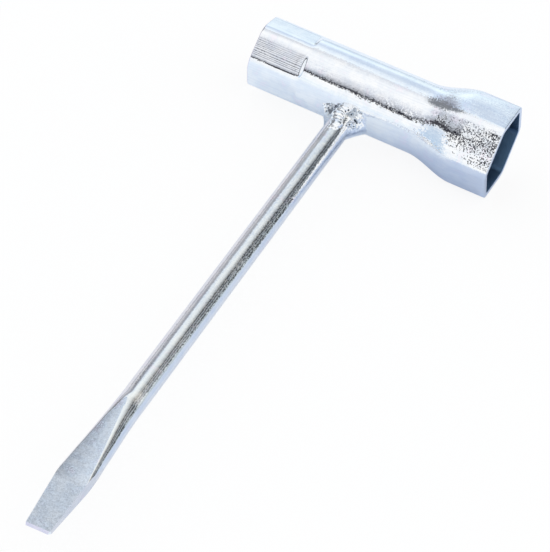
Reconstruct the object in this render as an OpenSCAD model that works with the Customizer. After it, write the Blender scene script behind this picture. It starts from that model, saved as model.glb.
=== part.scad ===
/* [Socket tube] */
// Outside diameter of the plain tube
tube_od = 19; // [18.8:0.1:19.4]
// Inside diameter of the plain tube
tube_bore = 15.4; // [15.3:0.1:15.8]
// Distance from the bar's axis to the small end
small_end_reach = 29.1; // [26:0.1:34]
// Distance from the bar's axis to the large end
large_end_reach = 39.7; // [37:0.1:44]

/* [Small hexagon] */
// Across flats, inside
small_af = 13.2; // [13:0.1:13.2]
// Across flats, outside
small_outer_af = 17.9; // [17.4:0.1:18.2]
// Length of the pressed flats
small_depth = 13.5; // [12:0.1:15]
// Length of the ramp from the flats back to the round tube
small_ramp = 1.4; // [1:0.1:2]
// Turn of the hexagon about the tube
small_turn = -15; // [-20:1:20]

/* [Large hexagon] */
// Across flats, inside
large_af = 19.2; // [19:0.1:19.4]
// Across flats, outside
large_outer_af = 22.4; // [22.2:0.1:22.6]
// Width over the rounded corners, inside
large_corner = 21.7; // [21.5:0.1:21.8]
// Width over the rounded corners, outside
large_outer_corner = 24.9; // [24.8:0.1:25.2]
// Where the tube starts to swell, from the bar's axis
swell_start = 15; // [14:0.1:16]
// Length over which it swells
swell_length = 15; // [14:0.1:16]
// Turn of the hexagon about the tube
large_turn = -6; // [-15:1:15]

/* [Driver bar] */
// Diameter of the bar
bar_d = 6.5; // [6.2:0.1:6.8]
// Distance from the tube's axis to the blade's tip
bar_reach = 165.9; // [160:0.1:180]
// Distance of the bar's axis under the tube's axis
bar_drop = 1.5; // [0:0.1:2]
// Length of the forged wedge
wedge_length = 40.3; // [38:0.1:44]
// Length of the trimmed point
point_length = 14.3; // [12:0.1:16]
// Half width that the forging spreads to at the trimmed point
spread_r = 4.4; // [4:0.1:4.6]
// Width of the trimmed point where it starts
point_width = 7.5; // [7:0.1:7.8]
// Width of the tip
tip_width = 5.6; // [5:0.1:6]
// Thickness where the trimmed point starts
point_thick = 3.3; // [3:0.1:3.6]
// Thickness of the tip
tip_thick = 1.3; // [1:0.1:1.6]
// Rise of the tip's middle over the bar's axis
tip_rise = 0.5; // [0:0.1:0.6]
// Sideways shift of the tip's middle
tip_shift = 0.3; // [0:0.1:0.4]
// Turn of the blade about the bar
blade_turn = 4; // [0:1:12]

/* [Weld] */
// Radius of the root bead around the bar
root_r = 2.3; // [2:0.1:2.6]
// Thickness of the webs at both sides of the bar
web_thick = 4.4; // [4:0.1:5]
// Leg of the web on the large end's side, along the tube
large_web_tube = 4.4; // [4:0.1:5]
// Leg of the web on the large end's side, along the bar
large_web_bar = 6; // [5:0.1:7]
// Leg of the web on the small end's side, along the tube
small_web_tube = 3.4; // [3:0.1:4]
// Leg of the web on the small end's side, along the bar
small_web_bar = 3; // [2.6:0.1:4]
// Radius of each ripple of the cap bead
cap_r = 2.2; // [2:0.1:2.6]
// Distance between ripples of the cap bead
cap_step = 1.5; // [1.2:0.1:1.6]
// Number of ripples of the cap bead
cap_ripples = 7; // [5:1:8]
// How far the middle of a cap ripple lies under the bar's surface
cap_sink = 0.9; // [0.7:0.1:1.2]

/* [Hidden] */
$fn = 180;
zinc = [0.80, 0.84, 0.90];
weld_metal = [0.72, 0.75, 0.79];
// how far cutting shapes reach past what they cut
past = 1;
// play that keeps the flats of the large hexagon clear of the round tube
clear = 0.12;
// how far inside the swell the ramps of the flats start and end
ramp_inset = 1.3;
swell_steps = 12;
tube_r = tube_od / 2;
bore_r = tube_bore / 2;
bar_r = bar_d / 2;
swell_end = swell_start + swell_length;
flats_end = small_depth - small_end_reach;
ramp_end = flats_end + small_ramp;
mouth_cut = large_end_reach + past;
wedge_start = bar_reach - wedge_length;
point_start = bar_reach - point_length;
// the bar spreads from just before the wedge
spread_start = wedge_start - 2;
slab_width = 2 * large_outer_corner;
// heights of the bar's front and back, and how far the tube's surface is from its axis there
front_z = bar_r - bar_drop;
back_z = -bar_r - bar_drop;
seam_front = sqrt(tube_r * tube_r - front_z * front_z);
seam_back = sqrt(tube_r * tube_r - back_z * back_z);

// Half outline of the tube along Y: radius a before the swell, b after it, and a smooth rise between
module tube_outline(a, b, from, to) {
    swell = [for (k = [0 : swell_steps]) [
        a + (b - a) * (1 - cos(180 * k / swell_steps)) / 2,
        swell_start + swell_length * k / swell_steps
    ]];
    polygon(concat([[0, from], [a, from]], swell, [[b, to], [0, to]]));
}

// What is pressed away beside one flat of the small hexagon, a from the axis
module small_flat_outline(a) {
    polygon([
        [a, -small_end_reach - past],
        [a, flats_end],
        [tube_r, ramp_end],
        [tube_r + past, ramp_end],
        [tube_r + past, -small_end_reach - past]
    ]);
}

// What is left out beside one flat of the large hexagon, b from the axis
module large_flat_outline(round_r, b, corner_r) {
    polygon([
        [round_r + clear, swell_start],
        [round_r + clear, swell_start + ramp_inset],
        [b, swell_end - ramp_inset],
        [b, mouth_cut + past],
        [corner_r + past, mouth_cut + past],
        [corner_r + past, swell_start]
    ]);
}

// Repeats a flat's outline around the tube
module six_flats(turn, width) {
    rotate(turn) for (k = [0 : 5]) {
        rotate(60 * k) rotate([90, 0, 0]) linear_extrude(width, center = true) children();
    }
}

// Round tube that swells to the rounded corners of the large hexagon
module swelled_tube(round_r, flat_r, corner_r, from, to) {
    difference() {
        rotate_extrude() tube_outline(round_r, corner_r, from, to);
        six_flats(large_turn, corner_r) large_flat_outline(round_r, flat_r, corner_r);
    }
}

module tube_outside() {
    difference() {
        swelled_tube(tube_r, large_outer_af / 2, large_outer_corner / 2, -small_end_reach, large_end_reach);
        six_flats(small_turn, tube_r) small_flat_outline(small_outer_af / 2);
    }
}

module tube_inside() {
    swelled_tube(bore_r, large_af / 2, large_corner / 2, flats_end, mouth_cut);
    translate([0, 0, -small_end_reach - past]) rotate(30 + small_turn) {
        cylinder(h = small_depth + 2 * past, d = small_af / cos(30), $fn = 6);
    }
}

// The round tube as a solid, for what is fitted against it
module tube_space() {
    rotate([0, 90, 0]) cylinder(h = 2 * swell_start, r = tube_r, center = true);
}

// Places a shape that is drawn with the bar's axis along Z
module along_bar() {
    translate([0, 0, -bar_drop]) rotate([90, 0, 0]) children();
}

// The round bar as a solid, for what is fitted against it
module bar_space() {
    along_bar() cylinder(h = spread_start, r = bar_r);
}

// Side view of the wedge, with the distance from the tube along X
module wedge_outline() {
    middle = tip_rise * (wedge_length - point_length) / wedge_length;
    slope = (bar_r - point_thick / 2) / (point_start - wedge_start);
    root = bar_r + slope * wedge_start;
    polygon([
        [0, root],
        [point_start, middle + point_thick / 2],
        [bar_reach, tip_rise + tip_thick / 2],
        [bar_reach, tip_rise - tip_thick / 2],
        [point_start, middle - point_thick / 2],
        [0, -root]
    ]);
}

// Plan view of the trimmed point, with the distance from the tube along Y
module point_outline() {
    slope = (point_width - tip_width) / 2 / point_length;
    root = point_width / 2 + slope * point_start;
    polygon([
        [-root, 0],
        [root, 0],
        [tip_shift + tip_width / 2, bar_reach],
        [tip_shift - tip_width / 2, bar_reach]
    ]);
}

// Turns the blade's outlines about the bar
module blade_slab() {
    rotate([0, 0, blade_turn]) children();
}

// Round bar whose end spreads as it is forged
module spread_bar() {
    spread_length = bar_reach - spread_start;
    tip_spread = bar_r + (spread_r - bar_r) * spread_length / (point_start - spread_start);
    cylinder(h = spread_start, r = bar_r);
    translate([0, 0, spread_start]) cylinder(h = spread_length, r1 = bar_r, r2 = tip_spread);
}

// Hollow corner fill between the tube along X and the bar along Y, with its corner at the origin
module web_outline(leg_tube, leg_bar) {
    chord = norm([leg_tube, leg_bar]);
    middle = [leg_tube, leg_bar] / 2;
    outward = [leg_bar, leg_tube] / chord;
    difference() {
        polygon([[-past, -past], [leg_tube, -past], [leg_tube, 0], [0, leg_bar], [-past, leg_bar]]);
        translate(middle + outward * chord * cos(30)) circle(chord);
    }
}

// One web, set into the corner on the +X side of the bar
module web(leg_tube, leg_bar) {
    translate([bar_r, -tube_r, -bar_drop]) mirror([0, 1]) {
        linear_extrude(web_thick, center = true) web_outline(leg_tube, leg_bar);
    }
}

// Bead around the bar, midway between the seam's nearest and farthest places
module root_bead() {
    along_bar() translate([0, 0, (tube_r + seam_back) / 2]) {
        rotate_extrude() translate([bar_r, 0]) circle(root_r);
    }
}

module cap_bead() {
    for (k = [0 : cap_ripples - 1]) {
        translate([0, -seam_front - k * cap_step, front_z - cap_sink]) sphere(cap_r);
    }
}

module socket_tube() {
    color(zinc) rotate([0, 90, 0]) difference() {
        tube_outside();
        tube_inside();
    }
}

module driver_bar() {
    color(zinc) difference() {
        along_bar() intersection() {
            spread_bar();
            blade_slab() rotate([0, -90, 0]) linear_extrude(slab_width, center = true) wedge_outline();
            blade_slab() rotate([90, 0, 0]) linear_extrude(slab_width, center = true) point_outline();
        }
        tube_space();
    }
}

module root_weld() {
    color(weld_metal) difference() {
        union() {
            root_bead();
            web(large_web_tube, large_web_bar);
            mirror([1, 0, 0]) web(small_web_tube, small_web_bar);
        }
        cap_bead();
        bar_space();
        tube_space();
    }
}

module cap_weld() {
    color(weld_metal) difference() {
        cap_bead();
        bar_space();
        tube_space();
    }
}

socket_tube();
driver_bar();
root_weld();
cap_weld();
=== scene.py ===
import math
import random

import bmesh
import bpy
from mathutils import Matrix, Vector


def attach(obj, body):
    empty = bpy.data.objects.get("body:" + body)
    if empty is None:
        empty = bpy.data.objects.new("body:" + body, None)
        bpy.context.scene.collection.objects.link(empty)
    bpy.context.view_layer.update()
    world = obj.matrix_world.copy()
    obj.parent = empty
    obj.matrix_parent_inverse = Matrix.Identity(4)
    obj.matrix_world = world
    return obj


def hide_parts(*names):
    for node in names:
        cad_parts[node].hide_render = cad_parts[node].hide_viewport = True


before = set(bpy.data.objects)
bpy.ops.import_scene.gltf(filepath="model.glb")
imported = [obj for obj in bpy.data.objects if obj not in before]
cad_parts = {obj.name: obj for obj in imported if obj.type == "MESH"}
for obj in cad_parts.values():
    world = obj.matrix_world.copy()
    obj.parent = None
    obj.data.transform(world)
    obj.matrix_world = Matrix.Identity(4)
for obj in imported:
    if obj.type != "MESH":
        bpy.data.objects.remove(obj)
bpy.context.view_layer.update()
print("frame loaded")

mm = 0.001
cos30 = math.cos(math.radians(30))
touching = 1e-6  # places nearer to each other than this count as the same
merging = 1e-7  # and vertices nearer than this become one


# small helpers for modelling

def clearSelection():
    bpy.ops.object.select_all(action="DESELECT")


def activate(piece):
    clearSelection()
    piece.select_set(True)
    bpy.context.view_layer.objects.active = piece


def fixPlace():
    # writes the active piece's place, turn and scale into its mesh
    bpy.ops.object.transform_apply(location=True, rotation=True, scale=True)


def beginEdit(piece):
    activate(piece)
    bpy.ops.object.mode_set(mode="EDIT")
    bpy.ops.mesh.select_mode(type="VERT")
    bpy.ops.mesh.select_all(action="DESELECT")


def endEdit():
    bpy.ops.object.mode_set(mode="OBJECT")


def faceOutward():
    bpy.ops.mesh.select_all(action="SELECT")
    bpy.ops.mesh.normals_make_consistent(inside=False)


def pickVerts(piece, test):
    bpy.ops.mesh.select_mode(type="VERT")
    bpy.ops.mesh.select_all(action="DESELECT")
    mesh = bmesh.from_edit_mesh(piece.data)
    for v in mesh.verts:
        v.select_set(bool(test(v)))
    mesh.select_flush_mode()
    bmesh.update_edit_mesh(piece.data)


def pickEdges(piece, test):
    bpy.ops.mesh.select_mode(type="EDGE")
    bpy.ops.mesh.select_all(action="DESELECT")
    mesh = bmesh.from_edit_mesh(piece.data)
    for e in mesh.edges:
        e.select_set(bool(test(e)))
    bmesh.update_edit_mesh(piece.data)


def pickedVerts(piece):
    return [v for v in bmesh.from_edit_mesh(piece.data).verts if v.select]


def joinPieces(name, pieces):
    clearSelection()
    for p in pieces:
        p.select_set(True)
    bpy.context.view_layer.objects.active = pieces[0]
    bpy.ops.object.join()
    whole = bpy.context.object
    whole.name = name
    whole.data.name = name
    return whole


def applyModifier(piece, kind, **settings):
    activate(piece)
    modifier = piece.modifiers.new(kind.title(), kind)
    for key, value in settings.items():
        setattr(modifier, key, value)
    bpy.ops.object.modifier_apply(modifier=modifier.name)


def trimBeyond(piece, place, normal):
    # a block is laid on the cutting plane and taken away from the piece
    size = 30 * mm
    turned = Vector((1, 0, 0)).rotation_difference(normal)
    clearSelection()
    bpy.ops.mesh.primitive_cube_add(
        size=size, location=Vector(place) + normal * size / 2, rotation=turned.to_euler())
    block = bpy.context.object
    applyModifier(piece, "BOOLEAN", object=block, operation="DIFFERENCE", solver="EXACT")
    bpy.data.objects.remove(block)


def softShade(piece, degrees):
    activate(piece)
    bpy.ops.object.shade_smooth_by_angle(angle=math.radians(degrees))


def between(table, at):
    # value between the rows of a table, whose first column is the place
    if at <= table[0][0]:
        return table[0][1:]
    for a, b in zip(table, table[1:]):
        if at <= b[0]:
            t = (at - a[0]) / (b[0] - a[0])
            return [p + (q - p) * t for p, q in zip(a[1:], b[1:])]
    return table[-1][1:]


def eased(t):
    return (1 - math.cos(math.pi * min(1, max(0, t)))) / 2


# socket tube

socketTube = {
    "mouthX": 39.7 * mm,
    "rearX": -29.1 * mm,
    "roundR": 9.5 * mm,
    "boreR": 7.7 * mm,
    # hexagons: from the axis to a flat, and to the middle of a rounded corner
    "largeFlat": 11.18 * mm,
    "largeReach": 12.45 * mm,
    "mouthFlat": 9.6 * mm,
    "mouthReach": 10.85 * mm,
    "smallFlat": 8.88 * mm,
    "nutFlat": 6.6 * mm,
    "nutReach": 7.58 * mm,
    "largeTurn": -6,  # degrees about the tube
    "smallTurn": -15,
    "cornerSteps": 8,
    "flatSteps": 15,
    "sameWay": math.radians(0.4),  # play in finding the straight edges
    # large end
    "swellFrom": 16.5 * mm,
    "swellTo": 30 * mm,
    "swellRings": 22,
    "flatLag": 0.04,  # the flats start later and end sooner in the swell than the corners
    "mouthRings": [x * mm for x in (38.4, 37, 35.5, 34, 32.5, 31, 30)],
    "bow": 0.4 * mm,  # how much fuller the large flats are at their root than at the mouth
    # small end
    "pressRings": [x * mm for x in (-28.6, -25, -21, -17.5)],
    "pressEnd": -15.7 * mm,  # where the small flats end
    "stepEnd": -14.3 * mm,  # where the tube is round again
    "stepRings": 8,
    "nutEnd": -15.9 * mm,  # where the inside hexagon ends
    "boreStart": -15.5 * mm,  # where the bore is round
    # rims
    "rimRound": 0.22 * mm,
    "rimSteps": [0.13, 0.5, 1],
    "rimWait": 3 * mm,  # how far inside an inner rim waits until its end is closed
    "rimPlay": 1.01,  # in finding its points
    # die lines
    "ribSide": 2,  # the flat that carries them, counted around the tube
    "ribSteps": 55,  # more columns there
    "ribPlay": (0.02 * mm, 0.1 * mm),  # in finding its points, outward and along the tube
    "ribDepth": 0.038 * mm,
    "ribSeed": 7,
    "ribMargin": (0.3, 0.2),  # in mm, as the next two
    "ribWidth": (0.10, 0.17),
    "ribGap": (0.4, 0.62),
    "ribShare": (0.5, 1),
    "ribFade": 0.4,  # share of the depth that is left at one side
}


def flatWay(turn, side):
    # the way that one flat of a hexagon faces
    middle = math.radians(turn + 30 + 60 * side)
    return Vector((0, math.cos(middle), math.sin(middle)))


def hexLoop(x, flat, reach, turn):
    # an open hexagon with rounded corners, square to the tube
    t = socketTube
    corner = flat / cos30
    turned = Matrix.Rotation(math.radians(turn), 4, "X") @ Matrix.Rotation(math.pi / 2, 4, "Y")
    clearSelection()
    bpy.ops.mesh.primitive_circle_add(
        vertices=6, radius=corner, fill_type="NGON", location=(x, 0, 0), rotation=turned.to_euler())
    loop = bpy.context.object
    fixPlace()
    beginEdit(loop)
    bpy.ops.mesh.select_all(action="SELECT")
    # the middle of a rounded corner lies 0.29 of the bevel's offset inside the sharp one
    offset = (corner - reach) / (2 - math.sqrt(2)) * 2
    bpy.ops.mesh.bevel(offset=offset, segments=t["cornerSteps"], profile=0.5, affect="VERTICES")
    bpy.ops.mesh.select_all(action="SELECT")
    bpy.ops.mesh.delete(type="ONLY_FACE")
    # the six straight edges are cut up, and one of them finer for its die lines
    for side in range(6):
        outward = flatWay(turn, side)

        def straight(e):
            half = (e.verts[0].co + e.verts[1].co) / 2
            half.x = 0
            return half.angle(outward) < t["sameWay"]

        pickEdges(loop, straight)
        bpy.ops.mesh.subdivide(number_cuts=t["ribSteps"] if side == t["ribSide"] else t["flatSteps"])
    bpy.ops.mesh.select_mode(type="VERT")
    bpy.ops.mesh.select_all(action="SELECT")
    return loop


def pullLoop(loop, x, flat, reach):
    # draws the picked loop along the tube, then sizes it and works it towards round
    fromX = pickedVerts(loop)[0].co.x
    bpy.ops.mesh.extrude_edges_move(TRANSFORM_OT_translate={"value": (x - fromX, 0, 0)})
    radii = [math.hypot(v.co.y, v.co.z) for v in pickedVerts(loop)]
    low, high, mean = min(radii), max(radii), sum(radii) / len(radii)
    kept = (reach - flat) / (high - low) if high - low > merging else 0
    size = kept + (flat - kept * low) / mean
    bpy.ops.transform.resize(value=(1, size, size), center_override=(x, 0, 0))
    bpy.ops.transform.tosphere(value=max(0, 1 - kept / size), center_override=(x, 0, 0))


def rimLoops(rimX, inward, flat, reach, turn, grow):
    # starts a wall at its rim: a loop on the end face, then the rounded edge
    edge = socketTube["rimRound"]
    loop = hexLoop(rimX, flat - grow * edge, reach - grow * edge, turn)
    for step in socketTube["rimSteps"]:
        lean = 1 - math.sqrt(1 - (1 - step) ** 2)
        pullLoop(loop, rimX + inward * edge * step, flat - grow * edge * lean, reach - grow * edge * lean)
    return loop


def swellLoops(loop, roundR, flat, reach):
    # the hexagon closes down to the round tube
    t = socketTube
    rings, lag = t["swellRings"], t["flatLag"]
    for k in range(rings - 1, -1, -1):
        x = t["swellTo"] + (t["swellFrom"] - t["swellTo"]) * (1 - k / rings)
        nowReach = roundR + (reach - roundR) * eased(k / rings)
        nowFlat = roundR + (flat - roundR) * eased((k / rings - lag) / (1 - 2 * lag))
        pullLoop(loop, x, min(nowFlat, nowReach), nowReach)


def drawDieLines(loop):
    # lengthwise ribs that the press left on one flat
    t = socketTube
    outward = flatWay(t["smallTurn"], t["ribSide"])
    across = Vector((0, -outward.z, outward.y))
    columns = {}
    for v in bmesh.from_edit_mesh(loop.data).verts:
        onFlat = v.co.dot(outward) > t["smallFlat"] - t["ribPlay"][0]
        if onFlat and v.co.x < t["pressEnd"] + t["ribPlay"][1]:
            columns.setdefault(round(v.co.dot(across) / mm, 2), set()).add(v.index)
    first, last = min(columns), max(columns)
    draw = random.Random(t["ribSeed"])
    grooves, place = [], first + t["ribMargin"][0]
    while place < last - t["ribMargin"][1]:
        deeper = t["ribFade"] + (1 - t["ribFade"]) * (place - first) / (last - first)
        grooves.append((place, draw.uniform(*t["ribWidth"]), draw.uniform(*t["ribShare"]) * deeper))
        place += draw.uniform(*t["ribGap"])
    for column, members in columns.items():
        depth = sum(d * math.exp(-((column - at) / wide) ** 2) for at, wide, d in grooves)
        pickVerts(loop, lambda v: v.index in members)
        bpy.ops.transform.translate(value=outward * -depth * t["ribDepth"])


def bridgeEnds(tube, fromX, toX, lowR, highR):
    def openEnd(e):
        a, b = e.verts
        place = (a.co.x + b.co.x) / 2
        atEnd = min(abs(place - fromX), abs(place - toX)) < touching
        return e.is_boundary and atEnd and lowR < math.hypot(a.co.y, a.co.z) < highR

    pickEdges(tube, openEnd)
    bpy.ops.mesh.bridge_edge_loops()


def closeRim(tube, rimX, inside):
    # the inner rim waits inside the tube while the end is bridged, then goes back to the end
    bridgeEnds(tube, rimX, rimX + inside, 0, math.inf)
    edge = socketTube["rimRound"] * socketTube["rimPlay"]
    pickVerts(tube, lambda v: abs(v.co.x - rimX - inside) < edge)
    bpy.ops.transform.translate(value=(-inside, 0, 0))


def makeOutside():
    t = socketTube
    # from the mouth to where the tube is round
    front = rimLoops(t["mouthX"], -1, t["largeFlat"], t["largeReach"], t["largeTurn"], 1)
    for x in t["mouthRings"]:
        share = (t["mouthX"] - x) / (t["mouthX"] - t["swellTo"])
        pullLoop(front, x, t["largeFlat"] + t["bow"] * share, t["largeReach"])
    swellLoops(front, t["roundR"], t["largeFlat"] + t["bow"], t["largeReach"])
    endEdit()
    # from the small end over the pressed flats
    rear = rimLoops(t["rearX"], 1, t["smallFlat"], t["roundR"], t["smallTurn"], 1)
    for x in (*t["pressRings"], t["pressEnd"]):
        pullLoop(rear, x, t["smallFlat"], t["roundR"])
    for k in range(1, t["stepRings"] + 1):
        share = k / t["stepRings"]
        x = t["pressEnd"] + (t["stepEnd"] - t["pressEnd"]) * share
        pullLoop(rear, x, t["smallFlat"] + (t["roundR"] - t["smallFlat"]) * eased(share), t["roundR"])
    drawDieLines(rear)
    endEdit()
    return [front, rear]


def makeSockets():
    t = socketTube
    front = rimLoops(t["mouthX"] - t["rimWait"], -1, t["mouthFlat"], t["mouthReach"], t["largeTurn"], -1)
    pullLoop(front, t["swellTo"], t["mouthFlat"], t["mouthReach"])
    swellLoops(front, t["boreR"], t["mouthFlat"], t["mouthReach"])
    endEdit()
    rear = rimLoops(t["rearX"] + t["rimWait"], 1, t["nutFlat"], t["nutReach"], t["smallTurn"], -1)
    pullLoop(rear, t["nutEnd"], t["nutFlat"], t["nutReach"])
    pullLoop(rear, t["boreStart"], t["boreR"], t["boreR"])
    endEdit()
    return [front, rear]


def makeTube():
    t = socketTube
    tube = joinPieces("socketTubeZinc", makeOutside() + makeSockets())
    beginEdit(tube)
    wall = (t["roundR"] + t["boreR"]) / 2
    bridgeEnds(tube, t["swellFrom"], t["stepEnd"], wall, math.inf)
    bridgeEnds(tube, t["swellFrom"], t["boreStart"], 0, wall)
    closeRim(tube, t["mouthX"], -t["rimWait"])
    closeRim(tube, t["rearX"], t["rimWait"])
    bpy.ops.mesh.select_all(action="SELECT")
    bpy.ops.mesh.remove_doubles(threshold=merging)
    faceOutward()
    endEdit()
    softShade(tube, degrees=40)
    return tube


tube = makeTube()
print("socket tube", len(tube.data.vertices), "vertices")


# driver bar, with s as the distance from the tube's axis

driverBar = {
    "radius": 3.25 * mm,
    "columns": 96,
    "barX": -0.27 * mm,
    "drop": 1.5 * mm,  # of its axis under the tube's axis
    "rootS": 8 * mm,  # its root ends inside the tube's wall
    "plainRings": [s * mm for s in (30, 60, 90, 115, 120.6, 123.1)],
    "flatS": 125.1 * mm,  # where the flats start to show
    "wedgeS": 125.6 * mm,
    "wedgeStep": 1.25 * mm,
    "tipS": 165.9 * mm,
    "pastTip": 0.7 * mm,  # how far it is forged beyond the tip, before that is cut off
    "tipHalf": 0.62 * mm,
    "tipRise": 0.58 * mm,
    "bladeTurn": 4,  # degrees about the bar
    # distance, then flat edge and side on the right, flat edge and side on the left
    "forging": [
        [125.1, -0.72, 3.25, 0.74, 3.25],
        [127.0, -0.12, 3.26, 1.08, 3.25],
        [131.6, 0.70, 3.42, 1.90, 3.31],
        [138.6, 1.90, 3.88, 2.60, 3.62],
        [142.6, 2.52, 4.05, 3.00, 3.90],
        [145.6, 2.98, 4.27, 3.26, 4.08],
        [147.6, 3.26, 4.40, 3.44, 4.22],
        [150.6, 3.78, 4.55, 3.70, 4.44],
        [166.6, 4.00, 4.90, 4.00, 4.80],
    ],
    # trimmed sides: edge of the flat where the trim starts and at the tip, and the slant
    "trimRight": [150.9, 3.86, 165.9, 3.18, 0.03],
    "trimLeft": [151.7, 3.76, 165.9, 2.62, 0.10],
    "tipCorner": 0.35 * mm,  # taken off the right corner of the tip
    "cornerWay": (1, -1, -0.3),
}


def wedgeAt(s):
    # half the thickness of the blade, and how high its middle lies
    b = driverBar
    t = max(0, (s - b["wedgeS"]) / (b["tipS"] - b["wedgeS"]))
    half = b["radius"] + (b["tipHalf"] - b["radius"]) * t
    return half, b["tipRise"] * t


def pullRing(bar, s):
    # draws the picked ring along the bar
    fromY = pickedVerts(bar)[0].co.y
    bpy.ops.mesh.extrude_edges_move(TRANSFORM_OT_translate={"value": (0, -s - fromY, 0)})


def forgeWedge(bar):
    b = driverBar
    rings = math.ceil((b["tipS"] + b["pastTip"] - b["flatS"]) / b["wedgeStep"])
    old = {1: (0, b["radius"]), -1: (0, b["radius"])}  # flat edge and side, right and left
    oldHalf, oldRise = b["radius"], 0
    for k in range(rings + 1):
        s = b["flatS"] + b["wedgeStep"] * k
        rightEdge, rightSide, leftEdge, leftSide = [c * mm for c in between(b["forging"], s / mm)]
        new = {1: (rightEdge, rightSide), -1: (leftEdge, leftSide)}
        half, rise = wedgeAt(s)
        pullRing(bar, s)
        ring = [v.index for v in sorted(pickedVerts(bar), key=lambda v: v.co.x)]
        middle = len(ring) // 2
        # each half is stretched about the edge of its flat, then moved to the new edge
        for side, members in ((1, set(ring[middle:])), (-1, set(ring[:middle]))):
            pickVerts(bar, lambda v: v.index in members)
            wider = (new[side][1] - new[side][0]) / (old[side][1] - old[side][0])
            bpy.ops.transform.resize(
                value=(wider, 1, half / oldHalf), center_override=(side * old[side][0], -s, oldRise))
            bpy.ops.transform.translate(value=(side * (new[side][0] - old[side][0]), 0, rise - oldRise))
        members = set(ring)
        pickVerts(bar, lambda v: v.index in members)
        old, oldHalf, oldRise = new, half, rise


def trimPoint(bar):
    # the point is trimmed at both sides, cut off square and blunted at one corner
    b = driverBar
    for side, (startS, startX, endS, endX, slant) in ((1, b["trimRight"]), (-1, b["trimLeft"])):
        run = Vector((side * (endX - startX), startS - endS, 0))
        down = Vector((side * slant, 0, -1))
        half, rise = wedgeAt(startS * mm)
        trimBeyond(
            bar, (startX * side * mm, -startS * mm, rise + half), run.cross(down).normalized() * side)
    trimBeyond(bar, (0, -b["tipS"], 0), Vector((0, -1, 0)))
    corner = Vector((b["trimRight"][3] * mm, -b["tipS"], 0))
    slope = Vector(b["cornerWay"]).normalized()
    trimBeyond(bar, corner - slope * b["tipCorner"], slope)


def makeBar():
    b = driverBar
    turned = Matrix.Rotation(math.pi / b["columns"], 4, "Y") @ Matrix.Rotation(math.pi / 2, 4, "X")
    clearSelection()
    bpy.ops.mesh.primitive_circle_add(
        vertices=b["columns"], radius=b["radius"], fill_type="NGON",
        location=(0, -b["rootS"], 0), rotation=turned.to_euler())
    bar = bpy.context.object
    bar.name = bar.data.name = "driverBarZinc"
    fixPlace()
    beginEdit(bar)
    bpy.ops.mesh.select_all(action="SELECT")
    for s in b["plainRings"]:
        pullRing(bar, s)
    forgeWedge(bar)
    bpy.ops.mesh.edge_face_add()
    faceOutward()
    endEdit()
    trimPoint(bar)
    # the blade is turned a little about the bar
    bar.location = (b["barX"], 0, -b["drop"])
    bar.rotation_euler = (0, math.radians(-b["bladeTurn"]), 0)
    activate(bar)
    fixPlace()
    softShade(bar, degrees=30)
    return bar


bar = makeBar()
print("driver bar", len(bar.data.vertices), "vertices")


# weld at the root of the bar

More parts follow.
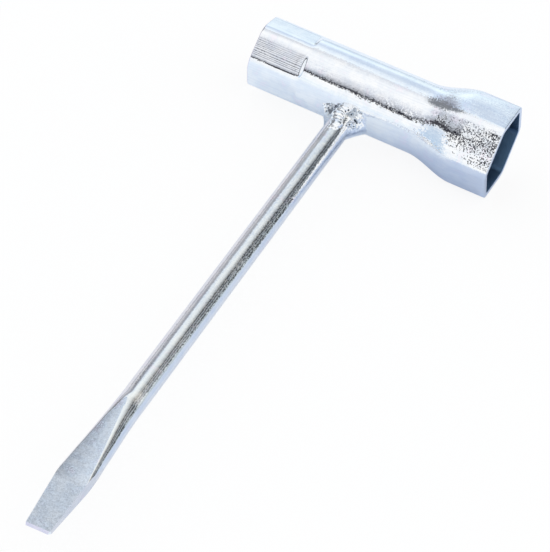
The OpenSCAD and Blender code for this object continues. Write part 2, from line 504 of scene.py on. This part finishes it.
rootWeld = {
    "columns": 120,
    "rings": 14,
    "sink": 0.12 * mm,  # how deep its toes lie in the tube and the bar
    "under": 0.6 * mm,  # how deep its hidden side lies there
    "underTube": 0.5,  # share of the legs that the hidden side reaches
    "underBar": 0.4,
    "voxel": 0.12 * mm,
    "blend": (-8, -4, 0, 4, 8),  # degrees over which the legs are averaged
    # angle about the bar from +X through +Z, leg along the bar, leg along the tube, hollow
    "legs": [
        [0, 7.6, 2.0, 0.10], [10, 7.6, 1.2, 0.15], [22, 7.2, 0.9, 0.20], [35, 6.4, 0.4, 0.30],
        [55, 5.0, 0.3, 0.35], [75, 4.0, 0.3, 0.35], [92, 3.0, 0.8, 0.35], [112, 3.5, 1.0, 0.40],
        [125, 4.2, 1.3, 0.55], [138, 5.0, 1.3, 0.65], [153, 6.0, 2.3, 0.65], [160, 6.6, 3.3, 0.60],
        [168, 7.0, 3.7, 0.50], [180, 7.2, 4.0, 0.36], [195, 7.0, 4.3, 0.30], [215, 6.0, 4.4, 0.30],
        [240, 4.5, 4.0, 0.30], [270, 4.0, 3.4, 0.30], [300, 4.6, 3.8, 0.15], [320, 5.6, 4.0, 0.0],
        [340, 7.2, 3.3, -0.05], [350, 7.5, 2.7, 0.0], [360, 7.6, 2.0, 0.10],
    ],
    # spatter at the toes: place, then half sizes
    "lumps": [
        [-5.92, -9.5, -1.31, 0.7, 0.55, 0.6], [-5.28, -9.5, -0.04, 0.5, 0.5, 0.4],
        [-6.8, -9.45, -0.1, 0.5, 0.4, 0.4], [-5.6, -9.3, -2.2, 0.5, 0.55, 0.6],
        [-4.3, -9.4, 0.5, 0.6, 0.5, 0.4], [1.2, -10.6, 1.6, 0.7, 0.6, 0.6],
        [2.7, -10.1, 0.35, 1.0, 0.8, 0.6], [3.5, -10.0, -0.1, 0.7, 0.6, 0.6],
        [2.4, -13.6, 0.9, 0.8, 0.7, 0.6], [3.2, -12.6, 0.0, 0.7, 0.7, 0.7],
    ],
    # bumps and pits: place, reach, height
    "spots": [
        [1.4, -10.8, 2.2, 0.6, 0.3], [1.75, -10.95, 1.6, 0.5, -0.4], [2.6, -10.3, 0.95, 0.8, 0.3],
        [3.3, -10.3, 0.5, 0.7, 0.3], [2.8, -11.05, 0.45, 0.5, -0.35], [3.15, -10.95, 0.15, 0.5, -0.35],
        [3.5, -10.85, -0.15, 0.5, -0.35], [2.7, -13.9, 1.4, 0.6, 0.3], [2.65, -14.3, 1.0, 0.5, -0.45],
        [3.5, -12.85, 0.4, 0.5, 0.25], [4.0, -11.5, -1.1, 0.5, 0.2], [3.5, -13.2, 0.0, 0.45, -0.35],
        [3.5, -11.5, -0.45, 0.45, -0.35], [0.6, -10.3, 2.4, 0.6, -0.5], [1.4, -12.3, 1.3, 0.7, -0.5],
        [2.1, -11.7, 0.85, 0.7, -0.45], [1.45, -13.6, 1.25, 0.6, -0.5], [2.2, -12.7, 0.9, 0.5, 0.2],
        [-5.65, -10.5, -0.65, 0.5, 0.35], [-5.2, -9.9, 0.1, 0.5, 0.35], [-4.65, -9.5, 0.8, 0.45, 0.3],
        [-5.1, -11.1, -0.6, 0.5, -0.35], [-4.9, -10.2, 0.0, 0.4, -0.2], [-3.5, -9.75, 1.3, 0.7, -0.5],
        [-3.9, -10.4, 0.5, 0.6, -0.2], [-2.9, -11.6, 1.0, 0.6, -0.4], [-2.7, -13.0, 0.9, 0.6, -0.4],
        [-2.4, -14.5, 0.9, 0.6, -0.35],
    ],
    "rough": 0.10 * mm,
    "roughSize": 0.9 * mm,
}


def roughen(piece, name, size, height):
    clouds = bpy.data.textures.new(name, "CLOUDS")
    clouds.noise_scale = size
    clouds.noise_depth = 1
    applyModifier(piece, "DISPLACE", texture=clouds, texture_coords="LOCAL", strength=height, mid_level=0.5)


def pressSpots(piece, spots):
    # pulls the surface out or presses it in around each spot
    beginEdit(piece)
    for x, y, z, reach, height in spots:
        at = Vector((x, y, z)) * mm
        mesh = bmesh.from_edit_mesh(piece.data)
        nearest = min(mesh.verts, key=lambda v: (v.co - at).length_squared)
        bpy.ops.mesh.select_all(action="DESELECT")
        nearest.select_set(True)
        bpy.ops.transform.translate(
            value=nearest.normal * height * mm, use_proportional_edit=True,
            proportional_edit_falloff="SMOOTH", proportional_size=reach * mm)
    endEdit()


def settleSootAndShade(piece):
    # painted shade with some weld soot: darkens the hollows of a weld in a colour attribute of its own
    activate(piece)
    piece.data.color_attributes.new("grime", "FLOAT_COLOR", "CORNER")
    piece.data.color_attributes.active_color = piece.data.color_attributes["grime"]
    bpy.ops.paint.vertex_color_dirt(
        blur_strength=1, blur_iterations=2, clean_angle=math.pi, dirt_angle=0, normalize=False)


def addBead(place, sizes, segments, rings, tilt=0):
    # an egg of weld metal, its place and half sizes in mm
    clearSelection()
    bpy.ops.mesh.primitive_uv_sphere_add(
        segments=segments, ring_count=rings, radius=mm, location=[c * mm for c in place],
        rotation=(math.radians(tilt), 0, 0), scale=sizes)
    fixPlace()
    return bpy.context.object


def barAxis():
    return Vector((driverBar["barX"], 0, -driverBar["drop"]))


def onTube(ahead, radius, lift):
    # the tube's surface at a distance from the bar's axis, or a little off it
    axis, tubeR = barAxis(), socketTube["roundR"]
    z = axis.z + radius * ahead.z
    out = math.sqrt(max(0, tubeR * tubeR - z * z))
    return Vector((axis.x + radius * ahead.x, -out, z)) + Vector((0, -out, z)).normalized() * lift


def skirtColumn(turn):
    # one column of the weld's skin: from the bar over the hollow to the tube, then back inside them
    w, axis, barR = rootWeld, barAxis(), driverBar["radius"]
    around = [between(w["legs"], (math.degrees(turn) + d) % 360) for d in w["blend"]]
    legBar, legTube, hollow = [sum(column) / len(around) for column in zip(*around)]
    legBar, legTube = legBar * mm, legTube * mm
    ahead = Vector((math.cos(turn), 0, math.sin(turn)))
    seam = onTube(ahead, barR, 0)
    foot = axis + ahead * (barR - w["sink"]) + Vector((0, seam.y - legBar, 0))
    toe = onTube(ahead, barR + legTube, -w["sink"])
    bend = (foot + toe) / 2 * (1 - hollow) + seam * hollow
    steps = [k / w["rings"] for k in range(w["rings"] + 1)]
    column = [foot * (1 - t) ** 2 + bend * 2 * t * (1 - t) + toe * t * t for t in steps]
    column.append(onTube(ahead, barR + legTube * w["underTube"], -w["under"]))
    column.append(axis + ahead * (barR - w["under"]) + Vector((0, seam.y - legBar * w["underBar"], 0)))
    return column


def makeSkirt():
    w = rootWeld
    clearSelection()
    bpy.ops.mesh.primitive_circle_add(
        vertices=w["columns"], radius=driverBar["radius"], location=(0, 0, 0), rotation=(math.pi / 2, 0, 0))
    skirt = bpy.context.object
    fixPlace()
    beginEdit(skirt)
    bpy.ops.mesh.select_all(action="SELECT")
    loops = [[v.index for v in pickedVerts(skirt)]]
    for k in range(w["rings"] + 2):
        bpy.ops.mesh.extrude_edges_move()
        loops.append([v.index for v in pickedVerts(skirt)])
    mesh = bmesh.from_edit_mesh(skirt.data)
    mesh.verts.ensure_lookup_table()
    for k, loop in enumerate(loops):
        for i in loop:
            v = mesh.verts[i]
            v.co = skirtColumn(math.atan2(v.co.z, v.co.x))[k]
    bmesh.update_edit_mesh(skirt.data)
    ends = set(loops[0]) | set(loops[-1])
    pickEdges(skirt, lambda e: e.is_boundary and e.verts[0].index in ends)
    bpy.ops.mesh.bridge_edge_loops()
    faceOutward()
    endEdit()
    return skirt


def makeRootWeld():
    w = rootWeld
    lumps = [makeSkirt()]
    for row in w["lumps"]:
        lumps.append(addBead(row[:3], row[3:], segments=20, rings=12))
    weld = joinPieces("rootWeldZinc", lumps)
    applyModifier(weld, "REMESH", mode="VOXEL", voxel_size=w["voxel"])
    applyModifier(weld, "SMOOTH", factor=0.5, iterations=5)
    roughen(weld, "rootRipple", w["roughSize"], w["rough"])
    pressSpots(weld, w["spots"])
    softShade(weld, degrees=60)
    settleSootAndShade(weld)
    return weld


root = makeRootWeld()
print("root weld", len(root.data.vertices), "vertices")


# rippled bead on the front of the bar

capWeld = {
    "tilt": -20,  # degrees that each ripple leans towards the tip
    "halfHeight": 1.25,
    "voxel": 0.1 * mm,
    # distance from the tube's axis, sideways place, half width, half length, height of the top
    "ripples": [
        [9.9, -0.75, 1.90, 1.50, 3.02], [11.4, -1.20, 1.60, 0.95, 2.78], [13.1, -1.15, 1.85, 1.50, 2.98],
        [14.6, -0.75, 1.70, 1.00, 2.76], [16.0, -0.30, 1.72, 1.80, 2.74], [17.6, -0.35, 1.40, 0.75, 2.62],
        [18.4, -0.40, 1.60, 0.80, 2.08],
    ],
    # pits on its side: place, reach, height
    "spots": [
        [0.15, -13.0, 2.55, 0.5, -0.45], [0.55, -13.2, 2.2, 0.5, -0.5], [0.4, -14.7, 2.25, 0.45, -0.4],
        [0.8, -14.3, 1.7, 0.5, -0.4], [0.0, -11.3, 2.2, 0.5, -0.4], [0.5, -10.6, 2.3, 0.5, -0.4],
    ],
    "rough": 0.14 * mm,
    "roughSize": 0.9 * mm,
    "grain": 0.05 * mm,
    "grainSize": 0.45 * mm,
}


def makeCapWeld():
    c = capWeld
    beads = []
    for s, x, halfWidth, halfLength, top in c["ripples"]:
        place = (x, -s, top - c["halfHeight"])
        sizes = (halfWidth, halfLength, c["halfHeight"])
        beads.append(addBead(place, sizes, segments=32, rings=20, tilt=c["tilt"]))
    cap = joinPieces("capWeldZinc", beads)
    applyModifier(cap, "REMESH", mode="VOXEL", voxel_size=c["voxel"])
    applyModifier(cap, "SMOOTH", factor=0.5, iterations=10)
    roughen(cap, "capRipple", c["roughSize"], c["rough"])
    roughen(cap, "capGrain", c["grainSize"], c["grain"])
    pressSpots(cap, c["spots"])
    softShade(cap, degrees=60)
    settleSootAndShade(cap)
    return cap


cap = makeCapWeld()
print("cap weld", len(cap.data.vertices), "vertices")


# small helpers for materials

def newFinish(name):
    finish = bpy.data.materials.new(name)
    finish.use_nodes = True
    return finish, finish.node_tree


def addNode(tree, kind, inputs=None, **settings):
    # each input is a value, or another node's output to link
    node = tree.nodes.new("ShaderNode" + kind)
    for key, value in settings.items():
        setattr(node, key, value)
    for key, value in (inputs or {}).items():
        if isinstance(value, bpy.types.NodeSocket):
            tree.links.new(value, node.inputs[key])
        else:
            node.inputs[key].default_value = value
    return node


def ramp(tree, value, stops):
    # a colour by a value, from rows of place and grey or colour
    node = addNode(tree, "ValToRGB", {"Fac": value})
    elements = node.color_ramp.elements
    elements.remove(elements[-1])
    for k, (place, *colour) in enumerate(stops):
        stop = elements[0] if k == 0 else elements.new(place)
        stop.position = place
        stop.color = (*(colour * 3 if len(colour) == 1 else colour), 1)
    return node.outputs["Color"]


def mapped(tree, value, low, high, toLow=0, toHigh=1, **settings):
    node = addNode(tree, "MapRange", {
        "Value": value, "From Min": low, "From Max": high, "To Min": toLow, "To Max": toHigh}, **settings)
    return node.outputs["Result"]


def smooth(tree, value, low, high):
    return mapped(tree, value, low, high, interpolation_type="SMOOTHSTEP")


def rampOver(tree, value, low, high, stops):
    # a ramp whose places run from low to high
    placed = [((at - low) / (high - low), *colour) for at, *colour in stops]
    return ramp(tree, mapped(tree, value, low, high), placed)


def mixed(tree, kind, factor, a, b):
    mix = addNode(tree, "Mix", {"Factor": factor, "A": a, "B": b}, data_type="RGBA", blend_type=kind)
    return mix.outputs["Result"]


def calculated(tree, kind, a, b):
    return addNode(tree, "Math", {0: a, 1: b}, operation=kind).outputs["Value"]


def axisOf(tree, vector, axis):
    return addNode(tree, "SeparateXYZ", {"Vector": vector}).outputs[axis]


def stretched(tree, place, along, times):
    # the place for a texture that is drawn out along one axis
    scale = [1 / times if k == along else 1 for k in range(3)]
    return addNode(tree, "Mapping", {"Vector": place, "Scale": scale}).outputs["Vector"]


def noiseAt(tree, place, scale, detail=1, roughness=0.5):
    noise = addNode(tree, "TexNoise", {
        "Vector": place, "Scale": scale, "Detail": detail, "Roughness": roughness})
    return noise.outputs["Fac"]


def bumped(tree, height, distance, normal):
    bump = addNode(tree, "Bump", {"Strength": 1, "Distance": distance, "Height": height, "Normal": normal})
    return bump.outputs["Normal"]


# zinc finishes

zincLook = {
    "tints": [(0.32, 0.93, 0.91, 0.965), (0.42, 0.88, 0.92, 0.965), (0.6, 0.96, 0.975, 0.99)],
    "cloudScale": 260,  # clouds of tint and polish, about 4 mm
    "polish": (0.6, 1.4),  # share of the roughness from cloud to cloud
    "crystalScale": 4000,  # crystals of about 0.25 mm, each tilted its own way
    "patchScale": 650,  # patches of rougher crystals, drawn out along the piece
    "patchStretch": 7,
    "patchSpan": (0.35, 0.65),
    "boldFrom": 0.6,  # share of the crystals that don't sparkle
    "calmSpan": (-170 * mm, 40 * mm),
    "peelScale": 190,  # slow waves of about 5 mm
    "peelHeight": 5e-5,
    "drawnScale": 1500,  # lines of drawing and forging, 30 times as long as wide
    "drawnStretch": 30,
    "drawnHeight": 1.6e-5,
    "drawnStops": [(0.34, 0.95, 0.955, 0.97), (0.5, 1.0), (0.66, 0.95, 0.955, 0.97)],
    # painted shade and weld soot in the hollows, by that attribute
    "sootAndShadeStops": [(0.462, 0.08, 0.09, 0.10), (0.482, 0.5, 0.52, 0.55), (0.498, 1.0)],
    "paintedShadeSpan": (-8 * mm, 8 * mm),
    # what a finish may change
    "rough": 0.10,
    "tilt": 0.10,  # how far the crystals lean
    "cell": 1,  # size of the crystals
    "shade": (1, 1, 1),
    "along": None,  # axis that the piece was drawn or forged along
    "patchy": 0,  # how much the lean differs between patches
    "sparkle": 0,  # how much further the boldest crystals lean
    "grain": 0,  # contrast of the pebbles of a blasted face
    "hollowSootAndShade": False,  # painted shade and soot, dark in the hollows
    "calm": None,  # share of the lean by the place along the piece
    "paintedFlankReflection": None,  # painted reflection: tint by how far a side faces to the left or right
    "paintedShade": None,  # painted shade by the place from left to right
}

zincFinishes = {
    "tubeZinc": {
        "rough": 0.05, "tilt": 0.09, "along": 0, "patchy": 0.65,
        "calm": [(-16, 0.3), (-6, 0.5), (8, 0.7), (15, 0.7), (20, 1.0), (29, 1.2)],
    },
    "barZinc": {
        # painted highlight: its shade makes the bar's zinc a little brighter and warmer than the tube's
        "rough": 0.05, "along": 1, "shade": (1.06, 1.04, 1.01), "sparkle": 0.6, "cell": 1.3,
        "calm": [(-165, 0.35), (-110, 0.4), (-85, 0.55), (-60, 0.75), (-20, 0.8)],
        # painted reflection: each side of the bar tinted by which way it faces
        "paintedFlankReflection": [
            (-0.6, 0.85, 0.78, 0.77), (-0.53, 0.88, 0.80, 0.79), (-0.47, 1.0), (-0.2, 1.0, 0.98, 0.94),
            (0.35, 1.0, 0.96, 0.90), (0.6, 1.0), (0.96, 0.97), (1.0, 0.82, 0.79, 0.80)],
    },
    "weldZinc": {"hollowSootAndShade": True},
    "rootZinc": {
        "hollowSootAndShade": True,
        # painted shade: the root weld is darker from about 5 mm left to 3 mm right of the bar, where its
        # hollows lie in shade
        "paintedShade": [
            (-5.7, 1.0), (-4.7, 0.64, 0.67, 0.71), (-2.5, 0.54, 0.57, 0.61), (1.6, 0.56, 0.60, 0.65),
            (2.5, 0.80, 0.83, 0.87), (3.2, 1.0)],
    },
    # painted shade: the bore's zinc is dark navy, as the inside of the tube lies in shade
    "boreShadeZinc": {"rough": 0.45, "tilt": 0.05, "shade": (0.09, 0.16, 0.25)},
    "rimZinc": {"rough": 0.12, "shade": (0.86, 0.79, 0.86)},
    "flatZinc": {"rough": 0.30, "tilt": 0.05, "shade": (0.85, 0.88, 0.92), "grain": 0.10},
}


def inMetres(stops):
    return [(at * mm, *colour) for at, *colour in stops]


def crystalNormal(tree, z, place, surface, crystals):
    # every crystal leans a little, so the edges of reflections break up into grains
    tilt = z["tilt"]
    lean = addNode(
        tree, "VectorMath", {0: crystals, 1: [tilt] * 3, 2: [-tilt / 2] * 3}, operation="MULTIPLY_ADD")
    # some patches more than others, and a few crystals a lot
    patches = noiseAt(tree, stretched(tree, place, z["along"], z["patchStretch"]), z["patchScale"])
    pick = addNode(tree, "TexWhiteNoise", {"Vector": crystals}).outputs["Value"]
    amount = calculated(
        tree, "MULTIPLY", mapped(tree, patches, *z["patchSpan"], 1 - z["patchy"], 1 + z["patchy"]),
        mapped(tree, pick, z["boldFrom"], 1, 1, 1 + z["sparkle"]))
    if z["calm"]:
        share = rampOver(tree, axisOf(tree, place, z["along"]), *z["calmSpan"], inMetres(z["calm"]))
        amount = calculated(tree, "MULTIPLY", amount, share)
    uneven = addNode(tree, "VectorMath", {0: lean.outputs["Vector"], "Scale": amount}, operation="SCALE")
    leaning = addNode(tree, "VectorMath", {0: surface, 1: uneven.outputs["Vector"]}, operation="ADD")
    unit = addNode(tree, "VectorMath", {0: leaning.outputs["Vector"]}, operation="NORMALIZE")
    return unit.outputs["Vector"]


def zincFinish(name, changes):
    z = {**zincLook, **changes}
    finish, tree = newFinish(name)
    place = addNode(tree, "TexCoord").outputs["Object"]
    surface = addNode(tree, "NewGeometry").outputs["Normal"]
    clouds = noiseAt(tree, place, z["cloudScale"], detail=3, roughness=0.6)
    crystals = addNode(tree, "TexVoronoi", {"Vector": place, "Scale": z["crystalScale"] / z["cell"]})
    crystals = crystals.outputs["Color"]
    colour = ramp(tree, clouds, [
        (at, *[c * s for c, s in zip(tint, z["shade"])]) for at, *tint in z["tints"]])
    if z["grain"]:
        pebbles = mapped(tree, axisOf(tree, crystals, "X"), 0, 1, 1 - z["grain"], 1 + z["grain"])
        pebbled = addNode(tree, "VectorMath", {0: colour, "Scale": pebbles}, operation="SCALE")
        colour = pebbled.outputs["Vector"]
    normal = crystalNormal(tree, z, place, surface, crystals)
    normal = bumped(tree, noiseAt(tree, place, z["peelScale"]), z["peelHeight"], normal)
    films = []
    if z["along"] is not None:
        # lines along the piece, from drawing the tube or forging the bar
        lines = noiseAt(tree, stretched(tree, place, z["along"], z["drawnStretch"]), z["drawnScale"])
        normal = bumped(tree, lines, z["drawnHeight"], normal)
        films.append(ramp(tree, lines, z["drawnStops"]))
    # painted shade and soot in the weld's hollows
    if z["hollowSootAndShade"]:
        hollows = addNode(tree, "Attribute", attribute_name="grime").outputs["Fac"]
        films.append(ramp(tree, hollows, z["sootAndShadeStops"]))
    # painted reflection by which way a side faces
    if z["paintedFlankReflection"]:
        films.append(rampOver(tree, axisOf(tree, surface, "X"), -1, 1, z["paintedFlankReflection"]))
    # painted shade across the root weld
    if z["paintedShade"]:
        films.append(rampOver(tree, axisOf(tree, place, "X"), *z["paintedShadeSpan"], inMetres(z["paintedShade"])))
    for film in films:
        colour = mixed(tree, "MULTIPLY", 1, colour, film)
    shader = tree.nodes["Principled BSDF"]
    shader.inputs["Metallic"].default_value = 1
    tree.links.new(colour, shader.inputs["Base Color"])
    polish = mapped(tree, clouds, 0, 1, *[z["rough"] * share for share in z["polish"]])
    tree.links.new(polish, shader.inputs["Roughness"])
    tree.links.new(normal, shader.inputs["Normal"])
    return finish


zinc = {name: zincFinish(name, changes) for name, changes in zincFinishes.items()}

# how straight a face has to face inward, along the flat's normal or along the bar to take its finish
facing = {
    "bore": 0.5,
    "bladeFlat": 0.9975,
    "tip": 0.8,
}

# the first finish of a piece is its main one
for piece, names in (
        (tube, ("tubeZinc", "boreShadeZinc", "rimZinc")), (bar, ("barZinc", "flatZinc", "rimZinc")),
        (root, ("rootZinc",)), (cap, ("weldZinc",))):
    for name in names:
        piece.data.materials.append(zinc[name])


def paintFaces(piece, index, test):
    for face in piece.data.polygons:
        if test(face):
            face.material_index = index


def inBore(face):
    inward = -(face.normal.y * face.center.y + face.normal.z * face.center.z)
    return inward > facing["bore"] * math.hypot(face.center.y, face.center.z)


def onSmallRim(face):
    return face.center.x < socketTube["rearX"] + socketTube["rimRound"]


def onBladeFlat(face):
    turn = math.radians(driverBar["bladeTurn"])
    flatUp = Vector((-math.sin(turn), 0, math.cos(turn)))
    return face.center.y < -driverBar["flatS"] and abs(face.normal.dot(flatUp)) > facing["bladeFlat"]


def onTip(face):
    return face.normal.y < -facing["tip"]


paintFaces(tube, 1, inBore)
paintFaces(tube, 2, onSmallRim)
paintFaces(bar, 1, onBladeFlat)
paintFaces(bar, 2, onTip)
print("finishes set")

for piece, node, slot in (
        (tube, "socket_tube", "tube_zinc"), (bar, "driver_bar", "bar_zinc"),
        (root, "root_weld", "weld_zinc"), (cap, "cap_weld", "weld_zinc")):
    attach(piece, "root")
    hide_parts(node)
print("pieces placed")


# studio

studio = {
    "cameraPlace": (0.14245, -0.4608, 0.41839),
    "right": (0.88872, 0.44019, 0.12813),
    "up": (-0.39891, 0.60473, 0.68932),
    "focalPixels": 2471,
    "framePixels": 550,
    "white": (1, 1, 1, 1),
    "roomLight": 1.03,
    "floorSize": 4,
    "floorGlow": 0.88,
    "floorPaint": (0.93, 0.95, 0.97, 1),
    # painted reflection of the floor as the metal shows it: pale blue left of the bar, darker right of it
    # where the object's shadow falls
    "floorReflectedShade": [(0.84, 0.905, 0.985, 1), (0.60, 0.68, 0.83, 1)],
    "floorShadeBlend": (0, 25 * mm),
    # brightness by the height of a direction, from the horizon up, on the camera's side
    "frontWall": [
        (0.0, 0.86, 0.92, 0.98), (0.1, 0.93, 0.97, 0.99), (0.2, 1.0), (0.435, 1.0),
        (0.45, 0.02, 0.02, 0.03), (0.535, 0.02, 0.02, 0.03), (0.575, 0.34, 0.35, 0.38),
        (0.66, 0.58, 0.59, 0.63), (0.74, 0.74, 0.75, 0.79), (0.82, 0.88, 0.89, 0.91), (0.92, 1.0)],
    # the dark slot in it narrows to the right, and fades sooner to the left
    "frontRight": [
        (0.0, 0.86, 0.92, 0.98), (0.2, 1.0), (0.46, 1.0), (0.472, 0.02, 0.02, 0.03),
        (0.522, 0.02, 0.02, 0.03), (0.54, 0.75, 0.76, 0.78), (0.58, 0.92, 0.93, 0.94), (0.64, 1.0)],
    "frontLeft": [
        (0.0, 0.86, 0.92, 0.98), (0.1, 0.93, 0.97, 0.99), (0.2, 1.0), (0.43, 1.0),
        (0.46, 0.04, 0.04, 0.05), (0.525, 0.07, 0.07, 0.08), (0.56, 0.40, 0.41, 0.44),
        (0.60, 0.54, 0.56, 0.60), (0.64, 0.66, 0.68, 0.73), (0.74, 0.90, 0.91, 0.94), (0.82, 1.0)],
    "leftBlend": (-0.38, -0.33),
    "rightBlend": (-0.185, -0.15),
    # how the slot rises and falls from the left to the right
    "slotRise": [
        (-0.36, 0.4), (-0.325, 0.4), (-0.31, 1.0), (-0.288, 0.9), (-0.27, 0.5), (-0.255, 0.2), (-0.24, 0.35),
        (-0.226, 0.7), (-0.213, 1.0), (-0.17, 0.95), (-0.15, 0.5)],
    "slotSway": 0.05,
    "frontCorner": [  # colour towards the left end of the front wall
        (-0.95, 1.0), (-0.78, 0.82, 0.88, 0.94), (-0.66, 0.55, 0.66, 0.79), (-0.56, 0.62, 0.72, 0.84),
        (-0.47, 1.0)],
    "cornerFade": (0.5, 0.3),  # by height
    # and on the far side
    "backWall": [
        (0.0, 0.60, 0.69, 0.77), (0.12, 0.64, 0.73, 0.82), (0.28, 0.84, 0.94, 0.99),
        (0.36, 0.80, 0.90, 0.96), (0.47, 0.68, 0.77, 0.87), (0.57, 0.58, 0.66, 0.78),
        (0.64, 0.60, 0.68, 0.79), (0.72, 0.72, 0.79, 0.87), (0.82, 0.84, 0.90, 0.95)],
    # share of that light from the left to the right
    "sideWalls": [
        (-0.95, 0.85), (-0.745, 0.78, 0.70, 0.70), (-0.71, 0.69, 0.62, 0.62), (-0.67, 0.60, 0.54, 0.55),
        (-0.61, 0.50, 0.46, 0.47), (-0.55, 0.52, 0.49, 0.51), (-0.49, 0.78, 0.74, 0.73), (-0.44, 1.03),
        (-0.38, 1.16), (-0.3, 1.12), (-0.2, 1.05), (-0.09, 1.03), (0.01, 0.92), (0.12, 0.79), (0.22, 0.56),
        (0.3, 0.37), (0.36, 0.05), (0.4, 0.05), (0.47, 0.52), (0.53, 0.05), (0.57, 0.05), (0.63, 0.55),
        (0.68, 0.05), (0.715, 0.12), (0.74, 0.58), (0.76, 0.72)],
    "sideFade": (0, 0.12),  # by height
    # edges of the dark gap between the overhead box and the far one, which opens to the left
    "overheadEdge": (-0.468, 1.0, -0.435),
    "overheadFade": (0.25, -0.25),
    "farEdge": (-0.72, -1.0, 0.323),
    "farFade": (-0.02, 0.04),
    "gap": [
        (-0.5, 0.23, 0.24, 0.26), (-0.43, 0.30, 0.31, 0.33), (-0.33, 0.62, 0.64, 0.67),
        (-0.27, 0.68, 0.70, 0.74), (-0.2, 0.80, 0.82, 0.86)],
    "gapFade": (0.25, 0.42),  # by height
    "wallsMeet": (-0.15, 0.2),
}


def makeCamera():
    s = studio
    lens = bpy.data.cameras.new("photoCamera")
    lens.sensor_fit = "HORIZONTAL"
    lens.sensor_width = 36
    lens.lens = s["focalPixels"] / s["framePixels"] * lens.sensor_width
    lens.clip_start = 0.01
    lens.clip_end = 20
    camera = bpy.data.objects.new("photoCamera", lens)
    bpy.context.scene.collection.objects.link(camera)
    right, up = Vector(s["right"]).normalized(), Vector(s["up"]).normalized()
    back = right.cross(up).normalized()
    up = back.cross(right)
    camera.matrix_world = Matrix((
        (right.x, up.x, back.x, s["cameraPlace"][0]),
        (right.y, up.y, back.y, s["cameraPlace"][1]),
        (right.z, up.z, back.z, s["cameraPlace"][2]),
        (0, 0, 0, 1)))
    bpy.context.scene.camera = camera


def makeFloor():
    # mostly its own plain white, and the rest of it takes the object's shadow; the metal sees a painted
    # shade on it, darker right of the bar
    s = studio
    low = min(v.co.z for v in tube.data.vertices)
    clearSelection()
    bpy.ops.mesh.primitive_plane_add(size=s["floorSize"], location=(0, 0, low))
    floor = bpy.context.object
    floor.name = "paleFloor"
    finish, tree = newFinish("paleFloor")
    tree.nodes.remove(tree.nodes["Principled BSDF"])
    shine = addNode(tree, "LightPath").outputs["Is Glossy Ray"]
    spot = addNode(tree, "NewGeometry").outputs["Position"]
    # painted shade: the floor as the metal sees it, darker to the right of the bar
    reflectedShade = mixed(tree, "MIX", smooth(tree, axisOf(tree, spot, "X"), *s["floorShadeBlend"]), *s["floorReflectedShade"])
    paint = addNode(tree, "BsdfDiffuse", {"Color": mixed(tree, "MIX", shine, s["floorPaint"], reflectedShade)})
    glow = addNode(tree, "Emission", {"Strength": 1})
    share = addNode(tree, "MixShader", {
        "Fac": mapped(tree, shine, 0, 1, s["floorGlow"], 0),
        1: paint.outputs["BSDF"],
        2: glow.outputs["Emission"]})
    tree.links.new(share.outputs["Shader"], tree.nodes["Material Output"].inputs["Surface"])
    floor.data.materials.append(finish)


def makeRoom():
    # white to the camera; what shines sees soft boxes overhead and in front, and darker walls between
    s = studio
    world = bpy.data.worlds.new("softRoom")
    bpy.context.scene.world = world
    world.use_nodes = True
    tree = world.node_tree
    shine = addNode(tree, "LightPath").outputs["Is Glossy Ray"]
    way = addNode(tree, "TexCoord").outputs["Generated"]
    x, y, z = [axisOf(tree, way, axis) for axis in "XYZ"]

    def acrossRoom(stops):
        return rampOver(tree, x, -1, 1, stops)

    def beyond(edge, fade):
        side = addNode(tree, "VectorMath", {0: way, 1: edge}, operation="DOT_PRODUCT")
        return smooth(tree, side.outputs["Value"], *fade)

    # the camera's side: a wall with a dark slot that sways
    sway = mapped(tree, acrossRoom(s["slotRise"]), 0, 1, -s["slotSway"], s["slotSway"])
    height = calculated(tree, "SUBTRACT", z, sway)
    left, middle, right = [
        rampOver(tree, height, 0, 1, s[part]) for part in ("frontLeft", "frontWall", "frontRight")]
    front = mixed(tree, "MIX", smooth(tree, x, *s["leftBlend"]), left, middle)
    front = mixed(tree, "MIX", smooth(tree, x, *s["rightBlend"]), front, right)
    front = mixed(tree, "MULTIPLY", smooth(tree, z, *s["cornerFade"]), front, acrossRoom(s["frontCorner"]))
    # the far side: a wall of light, its darker ends, the gap over it and the overhead box
    back = rampOver(tree, z, 0, 1, s["backWall"])
    back = mixed(tree, "MULTIPLY", smooth(tree, z, *s["sideFade"]), back, acrossRoom(s["sideWalls"]))
    inGap = calculated(tree, "MULTIPLY", beyond(s["farEdge"], s["farFade"]), smooth(tree, z, *s["gapFade"]))
    back = mixed(tree, "MIX", inGap, back, acrossRoom(s["gap"]))
    back = mixed(tree, "MIX", beyond(s["overheadEdge"], s["overheadFade"]), back, s["white"])
    room = mixed(tree, "MIX", smooth(tree, y, *s["wallsMeet"]), front, back)
    background = tree.nodes["Background"]
    tree.links.new(mixed(tree, "MIX", shine, s["white"], room), background.inputs["Color"])
    background.inputs["Strength"].default_value = s["roomLight"]


makeCamera()
makeFloor()
makeRoom()
bpy.context.scene.view_settings.view_transform = "Standard"
print("studio set")
